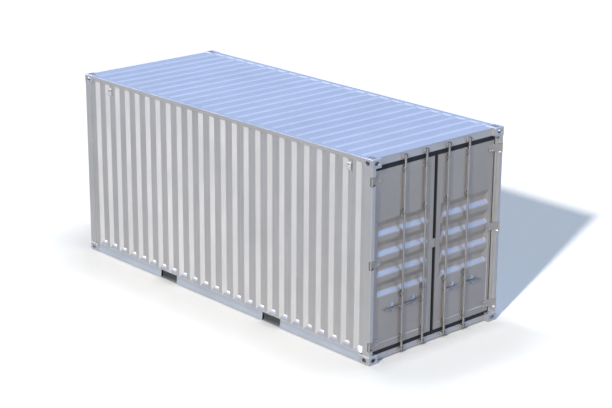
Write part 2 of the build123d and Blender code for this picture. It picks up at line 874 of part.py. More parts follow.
# Cam keepers: two lugs on a plate beside each cam, on the header and on the sill
keeper_half_width = keeper_gap + keeper_lug
with BuildPart() as cam_keepers:
    for cam_middle in (bar_bottom + cam_inset + cam_height / 2, bar_top - cam_inset - cam_height / 2):
        for y_side in (-1, 1):
            for bar_offset in bar_offsets:
                bar_y = y_side * bar_offset
                with BuildSketch(Plane.XY.offset(cam_middle - keeper_height / 2)):
                    with BuildLine():
                        Polyline(
                            (frame_face_x, bar_y - keeper_half_width),
                            (frame_face_x + keeper_reach, bar_y - keeper_half_width + keeper_lead),
                            (frame_face_x + keeper_reach, bar_y - keeper_gap),
                            (frame_face_x + keeper_plate, bar_y - keeper_gap),
                            (frame_face_x + keeper_plate, bar_y + keeper_gap),
                            (frame_face_x + keeper_reach, bar_y + keeper_gap),
                            (frame_face_x + keeper_reach, bar_y + keeper_half_width - keeper_lead),
                            (frame_face_x, bar_y + keeper_half_width),
                            close=True,
                        )
                    make_face()
                extrude(amount=keeper_height)
save(cam_keepers, "cam_keepers")

# Ventilators: small hoods near the top of each wall, in the second trough from each end
with BuildPart() as ventilators:
    for y_side in (-1, 1):
        for trough in vent_troughs:
            middle = wall_first_trough + trough * wall_pitch
            with BuildSketch(Plane.YZ.offset(middle - vent_front_width / 2)):
                with BuildLine():
                    Polyline(
                        (y_side * vent_back_y, vent_top - vent_height),
                        (y_side * (vent_back_y + vent_rise), vent_top - vent_height + vent_bevel),
                        (y_side * (vent_back_y + vent_rise), vent_top - vent_rise),
                        (y_side * vent_back_y, vent_top),
                        close=True,
                    )
                make_face()
            extrude(amount=vent_front_width)
    with BuildSketch(Plane.XY.offset(vent_top - vent_height)):
        for y_side in (-1, 1):
            for trough in vent_troughs:
                middle = wall_first_trough + trough * wall_pitch
                with BuildLine():
                    Polyline(
                        (middle - vent_back_width / 2, y_side * vent_back_y),
                        (middle - vent_front_width / 2, y_side * (vent_back_y + vent_rise)),
                        (middle + vent_front_width / 2, y_side * (vent_back_y + vent_rise)),
                        (middle + vent_back_width / 2, y_side * vent_back_y),
                        close=True,
                    )
                make_face()
    extrude(amount=vent_height, mode=Mode.INTERSECT)
save(ventilators, "ventilators")
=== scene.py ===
import json
import math

import bpy
from mathutils import Matrix, Vector

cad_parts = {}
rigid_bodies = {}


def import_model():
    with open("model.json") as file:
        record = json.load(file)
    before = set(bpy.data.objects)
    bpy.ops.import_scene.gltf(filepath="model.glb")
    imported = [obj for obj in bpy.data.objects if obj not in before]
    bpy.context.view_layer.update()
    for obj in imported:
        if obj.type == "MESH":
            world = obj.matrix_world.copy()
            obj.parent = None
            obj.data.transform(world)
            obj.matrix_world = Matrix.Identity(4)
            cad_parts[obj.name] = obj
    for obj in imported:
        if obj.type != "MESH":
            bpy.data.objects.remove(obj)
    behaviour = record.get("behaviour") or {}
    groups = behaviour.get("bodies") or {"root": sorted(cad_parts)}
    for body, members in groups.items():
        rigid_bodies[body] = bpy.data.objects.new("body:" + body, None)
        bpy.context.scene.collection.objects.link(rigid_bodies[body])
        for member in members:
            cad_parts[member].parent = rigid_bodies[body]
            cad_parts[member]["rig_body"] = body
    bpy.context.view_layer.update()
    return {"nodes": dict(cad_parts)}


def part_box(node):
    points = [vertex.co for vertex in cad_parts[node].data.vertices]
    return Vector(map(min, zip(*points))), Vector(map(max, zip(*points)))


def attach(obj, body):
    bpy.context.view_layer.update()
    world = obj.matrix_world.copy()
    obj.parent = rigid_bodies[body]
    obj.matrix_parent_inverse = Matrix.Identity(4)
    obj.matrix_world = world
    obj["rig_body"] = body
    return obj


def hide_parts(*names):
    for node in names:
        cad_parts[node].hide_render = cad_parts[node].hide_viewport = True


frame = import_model()
nodes = frame["nodes"]

# Corner castings: eight hollow blocks of cast steel that take the lifting hooks and the twist locks.
# Sand cast, fettled and welded to the posts, then sprayed with the rest of the box.
# Grinding and thick paint leave all their edges round.


def linear(code):
    """A hex sRGB colour as linear RGBA."""
    parts = [int(code[i : i + 2], 16) / 255 for i in (1, 3, 5)]
    return [p / 12.92 if p <= 0.04045 else ((p + 0.055) / 1.055) ** 2.4 for p in parts] + [1.0]


def add_node(tree, kind, inputs=(), **settings):
    """A shader node with its settings, and its inputs set to values or linked to outputs."""
    made = tree.nodes.new(kind)
    for setting, value in settings.items():
        setattr(made, setting, value)
    for socket, value in dict(inputs).items():
        if isinstance(value, bpy.types.NodeSocket):
            tree.links.new(value, made.inputs[socket])
        else:
            made.inputs[socket].default_value = value
    return made


def silver_enamel(name, paint, shade, roughness=0.33, metallic=0.62, skin=16, lift=0.3, rub=0.0):
    """Silver grey enamel with fine aluminium flake, sprayed on steel. It mirrors softly, like dull metal,
    with clouds of tint and gloss where the coats vary, orange peel, and specks rubbed down to dark steel.
    Orange peel is 2 to 4 mm across, too fine for this view, so skin draws it larger. Widths are in mm."""
    cloud_width = 770
    gloss_width = 476
    gloss_spread = 0.04
    speck_width = 22.2
    peel_height = 0.0006
    material = bpy.data.materials.new(name)
    material.use_nodes = True
    tree = material.node_tree
    shader = tree.nodes["Principled BSDF"]
    shader.inputs["Metallic"].default_value = metallic
    place = add_node(tree, "ShaderNodeTexCoord").outputs["Object"]
    clouds = {"Vector": place, "Scale": 1000 / cloud_width, "Detail": 5.0}
    drift = add_node(tree, "ShaderNodeTexNoise", clouds).outputs["Fac"]
    drift_range = {"Value": drift, "From Min": 0.35, "From Max": 0.65}
    tint_share = add_node(tree, "ShaderNodeMapRange", drift_range).outputs["Result"]
    tints = {0: tint_share, 6: linear(shade), 7: linear(paint)}
    tint = add_node(tree, "ShaderNodeMix", tints, data_type="RGBA").outputs[2]
    specks = {"Vector": place, "Scale": 1000 / speck_width, "Detail": 6.0}
    speck = add_node(tree, "ShaderNodeTexNoise", specks).outputs["Fac"]
    speck_range = {"Value": speck, "From Min": 0.64, "From Max": 0.72, "To Max": rub}
    rubbed_share = add_node(tree, "ShaderNodeMapRange", speck_range).outputs["Result"]
    coats = {0: rubbed_share, 6: tint, 7: linear("#77757a")}
    coat = add_node(tree, "ShaderNodeMix", coats, data_type="RGBA").outputs[2]
    tree.links.new(coat, shader.inputs["Base Color"])
    gloss_clouds = {"Vector": place, "Scale": 1000 / gloss_width, "Detail": 0.0}
    gloss_drift = add_node(tree, "ShaderNodeTexNoise", gloss_clouds).outputs["Fac"]
    gloss_range = {"Value": gloss_drift, "From Min": 0.2, "From Max": 0.8}
    gloss_range["To Min"] = roughness - gloss_spread
    gloss_range["To Max"] = roughness + gloss_spread
    gloss = add_node(tree, "ShaderNodeMapRange", gloss_range).outputs["Result"]
    tree.links.new(gloss, shader.inputs["Roughness"])
    peel_cells = {"Vector": place, "Scale": 1000 / skin, "Detail": 3.0}
    peel = add_node(tree, "ShaderNodeTexNoise", peel_cells).outputs["Fac"]
    relief = {"Height": peel, "Strength": lift, "Distance": peel_height}
    bump = add_node(tree, "ShaderNodeBump", relief).outputs["Normal"]
    tree.links.new(bump, shader.inputs["Normal"])
    return material


def pick_piece(piece):
    """The piece alone is selected and active."""
    bpy.ops.object.select_all(action="DESELECT")
    piece.select_set(True)
    bpy.context.view_layer.objects.active = piece


def shade_evenly(piece, smooth=32):
    """Smooth shading up to that angle. Wide flat faces keep their own normal beside the rounded edges."""
    bpy.ops.object.shade_smooth_by_angle(angle=math.radians(smooth))
    weighted = piece.modifiers.new("even_shading", "WEIGHTED_NORMAL")
    weighted.keep_sharp = True
    bpy.ops.object.modifier_apply(modifier=weighted.name)


def finish_piece(piece, material, body, replaced=(), smooth=32):
    """Modifiers applied, even shading, the material, and the piece's place in the frame."""
    bpy.ops.object.mode_set(mode="OBJECT")
    pick_piece(piece)
    for modifier in list(piece.modifiers):
        bpy.ops.object.modifier_apply(modifier=modifier.name)
    bpy.ops.object.transform_apply(location=True, rotation=True, scale=True)
    shade_evenly(piece, smooth)
    piece.data.materials.clear()
    piece.data.materials.append(material)
    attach(piece, body)
    if replaced:
        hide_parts(*replaced)
    return piece


def rounded_copy(name, radius, material, steps=2, flat_faces=True, from_angle=28):
    """A copy of a CAD node with its sharp edges rounded, from that angle between faces, in degrees.
    Its loose triangles are merged, and with flat_faces they are joined where they lie in one plane."""
    same_point = 0.00001
    same_plane = math.radians(0.6)
    source = nodes[name]
    piece = bpy.data.objects.new(f"{name}_finished", source.data.copy())
    bpy.context.scene.collection.objects.link(piece)
    pick_piece(piece)
    bpy.ops.object.mode_set(mode="EDIT")
    bpy.ops.mesh.customdata_custom_splitnormals_clear()
    bpy.ops.mesh.select_all(action="SELECT")
    bpy.ops.mesh.remove_doubles(threshold=same_point)
    if flat_faces:
        bpy.ops.mesh.dissolve_limited(angle_limit=same_plane)
    bpy.ops.object.mode_set(mode="OBJECT")
    edges = piece.modifiers.new("rounded_edges", "BEVEL")
    edges.width = radius
    edges.segments = steps
    edges.limit_method = "ANGLE"
    edges.angle_limit = math.radians(from_angle)
    return finish_piece(piece, material, source["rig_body"], [name])


# Enamel over a sand cast skin: grainier and duller than on sheet, with rubbed specks from lifting hooks.
casting_paint = silver_enamel(
    "enamel_on_cast_steel", "#cfcfd1", "#c0c1c4", roughness=0.36, skin=9, lift=0.7, rub=0.35
)
casting_edge = 0.003
for name in sorted(nodes):
    if name.endswith("_casting"):
        rounded_copy(name, casting_edge, casting_paint)

# Corner posts, headers, sills and rails: pressed and rolled steel sections, welded to the castings.
# Shot blasted and sprayed with the same enamel. Their corners are bends, round on the outside.

# Enamel on smooth rolled steel: an even, soft silver. On the folded bottom rails it is slightly bluer, a
# painted reflection of blue sky light.
section_paint = silver_enamel("enamel_on_rolled_steel", "#d1cfcd", "#c9c8c7")
bottom_rail_paint_painted_reflection = silver_enamel("enamel_on_folded_bottom_rails_with_painted_reflection", "#cfd4db", "#c7cdd5")
section_edge = 0.003
rail_bend_angle = 8
for name in sorted(nodes):
    if name.endswith(("_post", "_sill", "_header")):
        rounded_copy(name, section_edge, section_paint)
    if name.endswith("_top_rail"):
        rounded_copy(name, section_edge, section_paint, from_angle=rail_bend_angle)
    if name.endswith("_bottom_rail"):
        rounded_copy(name, section_edge, bottom_rail_paint_painted_reflection, from_angle=rail_bend_angle)

# Post welds: beads of filler metal a few millimetres high, where posts and castings meet.
# They are laid along the joint by hand or machine and painted over.

# Enamel over weld beads: the ripples that the arc leaves scatter the light, so it looks dull and uneven.
weld_paint = silver_enamel("enamel_on_weld_beads", "#cfcfd1", "#c2c3c6", roughness=0.5, skin=7, lift=0.8)
post_weld = 0.0035
weld_inset = 0.001
sides = {"left": -1, "right": 1}


def weld_bead(name, runs, radius, body="root"):
    """Beads along one or more runs of points, each drawn out edge by edge and given a round section."""
    seed = 0.001
    bpy.ops.object.select_all(action="DESELECT")
    bpy.ops.mesh.primitive_plane_add(size=seed, location=(0, 0, 0))
    bead = bpy.context.object
    bead.name = name
    bead.data.name = name
    bpy.ops.object.mode_set(mode="EDIT")
    bpy.ops.mesh.select_mode(type="VERT")
    bpy.ops.mesh.select_all(action="SELECT")
    bpy.ops.mesh.delete(type="VERT")
    for run in runs:
        bpy.ops.mesh.select_all(action="DESELECT")
        bpy.ops.mesh.primitive_plane_add(size=seed, location=run[0])
        bpy.ops.mesh.merge(type="CENTER")
        for start, end in zip(run, run[1:]):
            step = tuple(b - a for a, b in zip(start, end))
            bpy.ops.mesh.extrude_region_move(TRANSFORM_OT_translate={"value": step})
    bpy.ops.object.mode_set(mode="OBJECT")
    bpy.ops.object.convert(target="CURVE")
    bead = bpy.context.object
    bead.data.bevel_depth = radius
    bead.data.bevel_resolution = 1
    bead.data.use_fill_caps = True
    bpy.ops.object.convert(target="MESH")
    return finish_piece(bpy.context.object, weld_paint, body, smooth=60)


for end_name, end in (("front", -1), ("rear", 1)):
    for side_name, side in sides.items():
        low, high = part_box(f"{end_name}_{side_name}_post")
        face_x = high.x if end > 0 else low.x
        back_x = low.x if end > 0 else high.x
        face_y = high.y if side > 0 else low.y
        inner_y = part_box(f"{end_name}_{side_name}_top_casting")[0 if side > 0 else 1].y
        joints = [
            [(back_x, face_y, level), (face_x, face_y, level), (face_x, inner_y, level)]
            for level in (low.z + weld_inset, high.z - weld_inset)
        ]
        weld_bead(f"{end_name}_{side_name}_post_welds", joints, post_weld)

# Cross members and fork pockets: plain channels and plates under the floor, welded between the rails.
# Cut and folded from steel plate, and sprayed once. Their shapes are the solids' own.

# Thin enamel under the floor: darker than the enamel above, dull and blotchy, with much bare steel.
base_paint = silver_enamel(
    "scoured_enamel_on_base_steel", "#8f8f91", "#77777a", roughness=0.5, metallic=0.3, rub=0.8
)
for name in ("cross_members", "fork_pockets"):
    for index in range(len(nodes[name].data.materials)):
        nodes[name].data.materials[index] = base_paint

# Floor: ten plywood boards, 28 mm thick, laid on the cross members and screwed down.
# The face veneer runs along the box, and the boards are oiled after laying.

# Rotary cut hardwood plywood, oiled: warm brown, half dull, with long streaks of grain.
# Real grain lines are 2 to 5 mm wide, too fine for this view, so they are drawn wider. Widths are in mm.
grain_length = 222
grain_width = 11.9
grain_height = 0.001
board_wood = bpy.data.materials.new("oiled_plywood")
board_wood.use_nodes = True
wood_tree = board_wood.node_tree
wood_shader = wood_tree.nodes["Principled BSDF"]
wood_place = add_node(wood_tree, "ShaderNodeTexCoord").outputs["Object"]
grain_scale = (1000 / grain_length, 1000 / grain_width, 1000 / grain_width)
grain_place = {"Vector": wood_place, "Scale": grain_scale}
streaks = add_node(wood_tree, "ShaderNodeMapping", grain_place).outputs["Vector"]
grain_lines = {"Vector": streaks, "Scale": 1.0, "Detail": 8.0}
grain = add_node(wood_tree, "ShaderNodeTexNoise", grain_lines).outputs["Fac"]
wood_colours = {0: grain, 6: linear("#6f5237"), 7: linear("#a9835a")}
wood_tint = add_node(wood_tree, "ShaderNodeMix", wood_colours, data_type="RGBA")
wood_tree.links.new(wood_tint.outputs[2], wood_shader.inputs["Base Color"])
wood_rough = add_node(wood_tree, "ShaderNodeMapRange", {"Value": grain, "To Min": 0.45, "To Max": 0.7})
wood_tree.links.new(wood_rough.outputs["Result"], wood_shader.inputs["Roughness"])
wood_ridges = {"Height": grain, "Strength": 0.4, "Distance": grain_height}
wood_relief = add_node(wood_tree, "ShaderNodeBump", wood_ridges)
wood_tree.links.new(wood_relief.outputs["Normal"], wood_shader.inputs["Normal"])
board_edge = 0.0015
rounded_copy("floor_boards", board_edge, board_wood, steps=1)

# Floor screws: flat round heads with a recess, in straight rows across and along the boards.
# Turned from steel wire, zinc plated, and driven in until they lie nearly level with the boards.

# Zinc plate: a pale, slightly blue grey that mirrors softly all over. The enamel's recipe gives its mottle.
zinc = silver_enamel("zinc_coated_steel", "#a9abad", "#8e9092", roughness=0.4, metallic=1.0, skin=12, rub=0.3)
screw_pitch = 0.286
screw_columns = 19
screw_rows = 10
screw_margin = 0.080
screw_radius = 0.008
screw_height = 0.0012
screw_rim = 0.004
screw_recess = 0.0009
square_on = 0.95
low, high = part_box("floor_boards")
row_pitch = (high.y - low.y - 2 * screw_margin) / (screw_rows - 1)
first_screw = (-screw_pitch * (screw_columns - 1) / 2, low.y + screw_margin, high.z)
bpy.ops.object.select_all(action="DESELECT")
bpy.ops.mesh.primitive_cylinder_add(
    vertices=12, radius=screw_radius, depth=screw_height, location=first_screw
)
screws = bpy.context.object
screws.name = "floor_screws"
bpy.ops.object.mode_set(mode="EDIT")
bpy.ops.mesh.select_all(action="DESELECT")
bpy.ops.mesh.select_mode(type="FACE")
bpy.ops.object.mode_set(mode="OBJECT")
for face in screws.data.polygons:
    face.select = face.normal.z > square_on
bpy.ops.object.mode_set(mode="EDIT")
bpy.ops.mesh.inset(thickness=screw_rim)
bpy.ops.transform.translate(value=(0, 0, -screw_recess))
bpy.ops.object.mode_set(mode="OBJECT")
for axis, count, pitch in ((0, screw_columns, screw_pitch), (1, screw_rows, row_pitch)):
    row = screws.modifiers.new(f"row_{axis}", "ARRAY")
    row.count = count
    row.use_relative_offset = False
    row.use_constant_offset = True
    row.constant_offset_displace = [pitch if number == axis else 0 for number in range(3)]
finish_piece(screws, zinc, "root")

# Side walls: a 2 mm sheet a side, pressed cold into upright troughs that run out in a slope at the foot.
# The press leaves a small radius at each bend. The sheet is welded all round to rails and posts.

# Enamel on pressed sheet: the smoothest coat on the box, with broad and very shallow orange peel.
wall_paint = silver_enamel("enamel_on_corrugated_steel", "#cdcbca", "#c6c5c4", skin=22, lift=0.12)
sheet_thickness = 0.002
wall_depth = 0.042
wall_slope = 0.054
wall_inner_flat = 0.066
wall_foot = 0.070
wall_pitch = 0.240
wall_mouth = wall_inner_flat + 2 * wall_slope
wall_first_flat = 0.098
wall_bend = 0.010
wall_weld = 0.004
near_edge = 0.0005


def flat_sheet(name, low, high):
    """A flat rectangle between two corners that share their x, y or z, open in edit mode."""
    bpy.ops.object.select_all(action="DESELECT")
    middle = (Vector(low) + Vector(high)) / 2
    size = Vector(high) - Vector(low)
    thin = min(range(3), key=lambda axis: abs(size[axis]))
    turn = {0: (0, math.pi / 2, 0), 1: (math.pi / 2, 0, 0), 2: (0, 0, 0)}[thin]
    bpy.ops.mesh.primitive_plane_add(size=1, location=middle, rotation=turn)
    sheet = bpy.context.object
    sheet.name = name
    sheet.data.name = name
    bpy.ops.object.transform_apply(location=True, rotation=True, scale=True)
    bpy.ops.object.mode_set(mode="EDIT")
    bpy.ops.mesh.select_all(action="SELECT")
    stretch = [1 if axis == thin else size[axis] for axis in range(3)]
    bpy.ops.transform.resize(value=stretch, center_override=middle)
    return sheet


def pick_faces(piece, wanted):
    """In edit mode, the faces for which wanted(centre, normal) is true are selected, and nothing else."""
    bpy.ops.mesh.select_all(action="DESELECT")
    bpy.ops.mesh.select_mode(type="FACE")
    bpy.ops.object.mode_set(mode="OBJECT")
    for face in piece.data.polygons:
        face.select = wanted(face.center, face.normal)
    bpy.ops.object.mode_set(mode="EDIT")


def score(axis, places):
    """Straight cuts through the whole mesh, square to an axis."""
    for place in places:
        bpy.ops.mesh.select_all(action="SELECT")
        through = [place if number == axis else 0 for number in range(3)]
        square = [1 if number == axis else 0 for number in range(3)]
        bpy.ops.mesh.bisect(plane_co=through, plane_no=square)


def press_trough(piece, mouth, floor):
    """The face in the mouth is pressed down to the floor. Each is given by its low and its high corner."""
    rim = 0.001
    same_middle = 0.004
    middle = (Vector(mouth[0]) + Vector(mouth[1])) / 2
    pick_faces(piece, lambda centre, normal: (centre - middle).length < same_middle)
    bpy.ops.mesh.inset(thickness=rim)
    shrink = []
    pivot = []
    for axis in range(3):
        if abs(mouth[1][axis] - mouth[0][axis]) < rim:
            shrink.append(1)
            pivot.append(middle[axis])
            continue
        factor = (floor[1][axis] - floor[0][axis]) / (mouth[1][axis] - mouth[0][axis] - 2 * rim)
        shrink.append(factor)
        pivot.append((floor[0][axis] - factor * (mouth[0][axis] + rim)) / (1 - factor))
    bpy.ops.transform.resize(value=shrink, center_override=pivot)
    thin = min(range(3), key=lambda axis: abs(mouth[1][axis] - mouth[0][axis]))
    push = [floor[0][axis] - mouth[0][axis] if axis == thin else 0 for axis in range(3)]
    bpy.ops.transform.translate(value=push)


def round_bends(radius, steps):
    """Every bend of 10 degrees or more gets a radius."""
    bpy.ops.mesh.select_all(action="DESELECT")
    bpy.ops.mesh.select_mode(type="EDGE")
    bpy.ops.mesh.edges_select_sharp(sharpness=math.radians(10))
    bpy.ops.mesh.bevel(offset=radius, segments=steps, affect="EDGES", clamp_overlap=True)


def face_outwards(piece, outwards):
    """The open sheet's faces all look to the outer side."""
    bpy.ops.mesh.select_all(action="SELECT")
    bpy.ops.mesh.normals_make_consistent(inside=False)
    bpy.ops.object.mode_set(mode="OBJECT")
    total = sum((face.normal * face.area for face in piece.data.polygons), Vector())
    bpy.ops.object.mode_set(mode="EDIT")
    if total.dot(Vector(outwards)) < 0:
        bpy.ops.mesh.select_all(action="SELECT")
        bpy.ops.mesh.flip_normals()


def thicken(piece):
    """The sheet gets its real thickness on its back."""
    wall = piece.modifiers.new("sheet_thickness", "SOLIDIFY")
    wall.thickness = sheet_thickness
    wall.offset = -1
    wall.use_even_offset = True


for side_name, side in sides.items():
    low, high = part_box(f"{side_name}_wall")
    outer_y = side * max(abs(low.y), abs(high.y))
    inner_y = outer_y - side * wall_depth
    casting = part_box(f"rear_{side_name}_top_casting")[0]
    wall_sheet = flat_sheet(f"{side_name}_wall_sheet", (low.x, outer_y, low.z), (high.x, outer_y, high.z))
    count = int((high.x - low.x - wall_first_flat - wall_mouth) // wall_pitch) + 1
    starts = [low.x + wall_first_flat + number * wall_pitch for number in range(count)]
    score(0, [place for start in starts for place in (start, start + wall_mouth)])
    for start in starts:
        mouth = ((start, outer_y, low.z), (start + wall_mouth, outer_y, high.z))
        floor_low = (start + wall_slope, inner_y, low.z + wall_foot)
        floor_high = (start + wall_slope + wall_inner_flat, inner_y, high.z)
        press_trough(wall_sheet, mouth, (floor_low, floor_high))
    pick_faces(wall_sheet, lambda centre, normal: centre.z > high.z - near_edge)
    bpy.ops.mesh.delete(type="FACE")
    face_outwards(wall_sheet, (0, side, 0))
    round_bends(wall_bend, 4)
    score(0, (-casting.x, casting.x))
    score(2, (casting.z,))
    pick_faces(wall_sheet, lambda centre, normal: centre.z > casting.z and abs(centre.x) > casting.x)
    bpy.ops.mesh.delete(type="FACE")
    thicken(wall_sheet)
    finish_piece(wall_sheet, wall_paint, "root", [f"{side_name}_wall"])
    foot = [(x, outer_y, low.z + weld_inset) for x in (low.x, high.x)]
    ends = [[(x, outer_y, low.z), (x, outer_y, casting.z)] for x in (low.x, high.x)]
    weld_bead(f"{side_name}_wall_welds", [foot] + ends, wall_weld)

# Front wall: the same kind of sheet with wider, steeper troughs, welded between the front posts.
# It has no slopes at the foot, because the sill carries the whole edge of the sheet.

front_depth = 0.045
front_slope = 0.020
front_inner_flat = 0.105
front_pitch = 0.250
front_bend = 0.008
front_mouth = front_inner_flat + 2 * front_slope
low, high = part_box("front_wall")
front_sheet = flat_sheet("front_wall_sheet", (low.x, low.y, low.z), (low.x, high.y, high.z))
count = int((high.y - low.y - front_mouth) // front_pitch) + 1
first_start = -front_pitch * (count - 1) / 2 - front_mouth / 2
starts = [first_start + number * front_pitch for number in range(count)]
score(1, [place for start in starts for place in (start, start + front_mouth)])
for start in starts:
    mouth = ((low.x, start, low.z), (low.x, start + front_mouth, high.z))
    floor_low = (low.x + front_depth, start + front_slope, low.z)
    floor_high = (low.x + front_depth, start + front_slope + front_inner_flat, high.z)
    press_trough(front_sheet, mouth, (floor_low, floor_high))
pick_faces(front_sheet, lambda centre, normal: not low.z + near_edge <= centre.z <= high.z - near_edge)
bpy.ops.mesh.delete(type="FACE")
face_outwards(front_sheet, (-1, 0, 0))
round_bends(front_bend, 3)
thicken(front_sheet)
finish_piece(front_sheet, wall_paint, "root", ["front_wall"])

# Roof: 2 mm sheet stamped with shallow troughs between narrow ribs, so that rain runs off.
# It lies on the top rails and is welded to them all round.

# Enamel on stamped sheet: as smooth as on the walls, and a shade cooler, a painted tint of blue sky light on
# the roof.
roof_paint_painted_sky_tint = silver_enamel("enamel_on_stamped_steel", "#cbcbcc", "#c3c4c5", skin=26, lift=0.12)
roof_depth = 0.018
roof_slope = roof_depth * math.tan(math.radians(60))
roof_bend = 0.010
roof_weld = 0.0025
rib_pitch = 0.241
rib_top = 0.040
front_margin = 0.014
door_margin = 0.046
first_rib = 0.2475
least_trough = 0.070
side_margin = 0.065
low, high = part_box("roof")
rib_room = high.x - low.x - first_rib - door_margin - rib_top / 2 - least_trough
ribs = [low.x + first_rib + number * rib_pitch for number in range(int(rib_room // rib_pitch) + 1)]
trough_starts = [low.x + front_margin] + [rib + rib_top / 2 for rib in ribs]
trough_ends = [rib - rib_top / 2 for rib in ribs] + [high.x - door_margin]
trough_side = high.y - side_margin
roof_sheet = flat_sheet("roof_sheet", (low.x, low.y, high.z), (high.x, high.y, high.z))
score(0, trough_starts + trough_ends)
score(1, (-trough_side, trough_side))
for start, end in zip(trough_starts, trough_ends):
    mouth = ((start, -trough_side, high.z), (end, trough_side, high.z))
    floor_low = (start + roof_slope, roof_slope - trough_side, high.z - roof_depth)
    floor_high = (end - roof_slope, trough_side - roof_slope, high.z - roof_depth)
    press_trough(roof_sheet, mouth, (floor_low, floor_high))
face_outwards(roof_sheet, (0, 0, 1))
round_bends(roof_bend, 4)
thicken(roof_sheet)
finish_piece(roof_sheet, roof_paint_painted_sky_tint, "root", ["roof"])
edges = [[(x, y, high.z - roof_weld) for x in (low.x, high.x)] for y in (low.y, high.y)]
weld_bead("roof_welds", edges, roof_weld)

# Ventilators: small pressed hoods near the tops of the walls, open at slots in their lower half.
# Riveted over holes in the second trough from each end and sealed with a bead of mastic.

# Enamel on thin pressed hoods: duller and less metallic than on the walls, with finer orange peel.
hood_paint = silver_enamel(
    "enamel_on_pressed_hoods", "#c6c4c5", "#b9b7b8", roughness=0.5, metallic=0.4, skin=9
)
hood_edge = 0.004
hood_front_skin = 0.003
slot_count = 4
slot_pitch = 0.017
slot_height = 0.008
slot_half = 0.026
slot_depth = 0.012
first_slot = 0.026
hood_half = 0.046
vents = rounded_copy("ventilators", hood_edge, hood_paint, steps=3)
low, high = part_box("ventilators")
hood_front = high.y - hood_front_skin
hood_middles = [low.x + hood_half, high.x - hood_half]
slot_bottoms = [low.z + first_slot + slot_pitch * number for number in range(slot_count)]


def in_hood_slot(centre, normal):
    """Whether a face of a hood's front lies in one of its slots."""
    on_front = abs(normal.y) > square_on and abs(centre.y) > hood_front
    at_level = any(bottom < centre.z < bottom + slot_height for bottom in slot_bottoms)
    return on_front and at_level and any(abs(centre.x - middle) < slot_half for middle in hood_middles)


bpy.ops.object.mode_set(mode="EDIT")
score(2, [level for bottom in slot_bottoms for level in (bottom, bottom + slot_height)])
score(0, [edge for middle in hood_middles for edge in (middle - slot_half, middle + slot_half)])
pick_faces(vents, in_hood_slot)
bpy.ops.mesh.extrude_region_shrink_fatten(TRANSFORM_OT_shrink_fatten={"value": -slot_depth})
bpy.ops.object.mode_set(mode="OBJECT")
shade_evenly(vents)

# Door leaves: a welded frame of flat bars with hinge blades and the cover plate of the middle joint.
# The panel is one sheet, pressed into four level troughs and welded into the frame.

# Enamel on the doors: as smooth as on the walls, but darker and warmer: painted shade of the door end, which
# faces away from the key lamp, and painted warm light from the floor.
door_paint_painted_shade = silver_enamel("enamel_on_door_steel_with_painted_shade", "#bfb8b0", "#b6afa8", skin=22, lift=0.12)
leaf_edge = 0.002
panel_depth = 0.034
panel_slope = 0.066
panel_end_slope = 0.036
panel_end_margin = 0.018
panel_inner_flat = 0.066
panel_pitch = 0.272
panel_first = 0.973
panel_troughs = 4
panel_bend = 0.014
panel_weld = 0.003
panel_weld_lift = 0.0005
half_floor = panel_inner_flat / 2
half_mouth = half_floor + panel_slope
levels = [panel_first + number * panel_pitch for number in range(panel_troughs)]
for side_name in sides:
    rounded_copy(f"{side_name}_door_frame", leaf_edge, door_paint_painted_shade, flat_faces=False)
    low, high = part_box(f"{side_name}_door_panel")
    face_x = high.x
    floor_x = face_x - panel_depth
    start = low.y + panel_end_margin
    end = high.y - panel_end_margin
    panel = flat_sheet(f"{side_name}_door_panel_sheet", (face_x, low.y, low.z), (face_x, high.y, high.z))
    score(1, (start, end))
    score(2, [level for middle in levels for level in (middle - half_mouth, middle + half_mouth)])
    for middle in levels:
        mouth = ((face_x, start, middle - half_mouth), (face_x, end, middle + half_mouth))
        floor_low = (floor_x, start + panel_end_slope, middle - half_floor)
        floor_high = (floor_x, end - panel_end_slope, middle + half_floor)
        press_trough(panel, mouth, (floor_low, floor_high))
    face_outwards(panel, (1, 0, 0))
    round_bends(panel_bend, 4)
    thicken(panel)
    finish_piece(panel, door_paint_painted_shade, f"{side_name}_door", [f"{side_name}_door_panel"])
    weld_x = face_x + panel_weld_lift
    corners = [(low.y, low.z), (high.y, low.z), (high.y, high.z), (low.y, high.z), (low.y, low.z)]
    run = [(weld_x, y, z) for y, z in corners]
    weld_bead(f"{side_name}_panel_welds", [run], panel_weld, f"{side_name}_door")

# Door gaskets: extruded rubber lips round each leaf, with a groove along the front.
# They are screwed into the edge of the leaf and press on the door frame when it is shut.

# Extruded rubber: near black and dull, a little greyer in patches, 111 mm wide, where dust has settled.
dust_width = 111
dust_height = 0.001
gasket_rubber = bpy.data.materials.new("extruded_rubber")
gasket_rubber.use_nodes = True
rubber_tree = gasket_rubber.node_tree
rubber_shader = rubber_tree.nodes["Principled BSDF"]
rubber_place = add_node(rubber_tree, "ShaderNodeTexCoord").outputs["Object"]
dust_patches = {"Vector": rubber_place, "Scale": 1000 / dust_width, "Detail": 6.0}
dust = add_node(rubber_tree, "ShaderNodeTexNoise", dust_patches).outputs["Fac"]
rubber_colours = {0: dust, 6: linear("#131114"), 7: linear("#1f1c20")}
rubber_tint = add_node(rubber_tree, "ShaderNodeMix", rubber_colours, data_type="RGBA")
rubber_tree.links.new(rubber_tint.outputs[2], rubber_shader.inputs["Base Color"])
rubber_rough = add_node(rubber_tree, "ShaderNodeMapRange", {"Value": dust, "To Min": 0.6, "To Max": 0.8})
rubber_tree.links.new(rubber_rough.outputs["Result"], rubber_shader.inputs["Roughness"])
rubber_bumps = {"Height": dust, "Strength": 0.3, "Distance": dust_height}
rubber_relief = add_node(rubber_tree, "ShaderNodeBump", rubber_bumps)
rubber_tree.links.new(rubber_relief.outputs["Normal"], rubber_shader.inputs["Normal"])
lip_edge = 0.003
groove_margin = 0.007
groove_depth = 0.005
